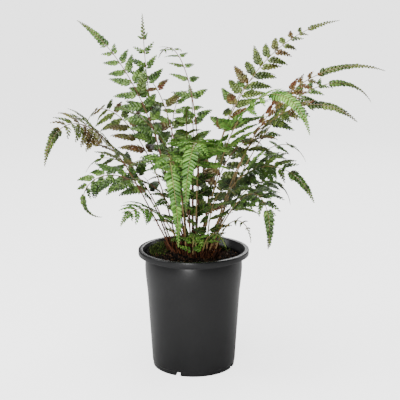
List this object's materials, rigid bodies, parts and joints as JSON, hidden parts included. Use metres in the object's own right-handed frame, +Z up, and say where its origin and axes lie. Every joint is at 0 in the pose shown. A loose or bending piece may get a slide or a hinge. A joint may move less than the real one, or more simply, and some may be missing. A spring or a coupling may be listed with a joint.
{
  "type": "japanese painted fern in a nursery pot",
  "caption": "Potted fern with arching feathery fronds of toothed leaflets on thin bare stems, in a tall round tapered plastic pot with a folded rim, filled with soil.",
  "frame": {"origin": "centre of the pot's flat underside, on the floor", "axes": "+Z up along the pot's axis, -Y towards the viewer of the picture, +X to that viewer's right"},
  "size_m": [0.4574, 0.4836, 0.521],
  "materials": {
    "pot_plastic": "semi-matte dark grey",
    "potting_soil": "rough, near black, with bark crumbs",
    "frond_green": "satin leaf, mid to dark green",
    "frond_bronze": "satin leaf, olive with bronze",
    "frond_young": "satin leaf, light yellow green"
  },
  "bodies": {
    "root": {"pot": "pot_plastic", "soil": "potting_soil", "frond_01": "frond_green", "frond_02": "frond_green", "frond_03": "frond_green", "frond_04": "frond_green", "frond_05": "frond_bronze", "frond_06": "frond_bronze", "frond_07": "frond_green", "frond_08": "frond_young", "frond_09": "frond_young", "frond_10": "frond_young", "frond_11": "frond_bronze", "frond_12": "frond_bronze", "frond_13": "frond_green", "frond_14": "frond_bronze", "frond_15": "frond_young", "frond_16": "frond_green", "frond_17": "frond_green", "frond_18": "frond_green", "frond_19": "frond_green", "frond_20": "frond_bronze", "frond_21": "frond_green", "frond_22": "frond_green", "frond_23": "frond_bronze", "frond_24": "frond_green", "frond_25": "frond_green", "frond_26": "frond_green", "frond_27": "frond_green", "frond_28": "frond_green", "frond_29": "frond_green", "frond_30": "frond_young", "frond_31": "frond_young", "frond_32": "frond_green", "frond_33": "frond_green", "frond_34": "frond_green"}
  },
  "joints": []
}
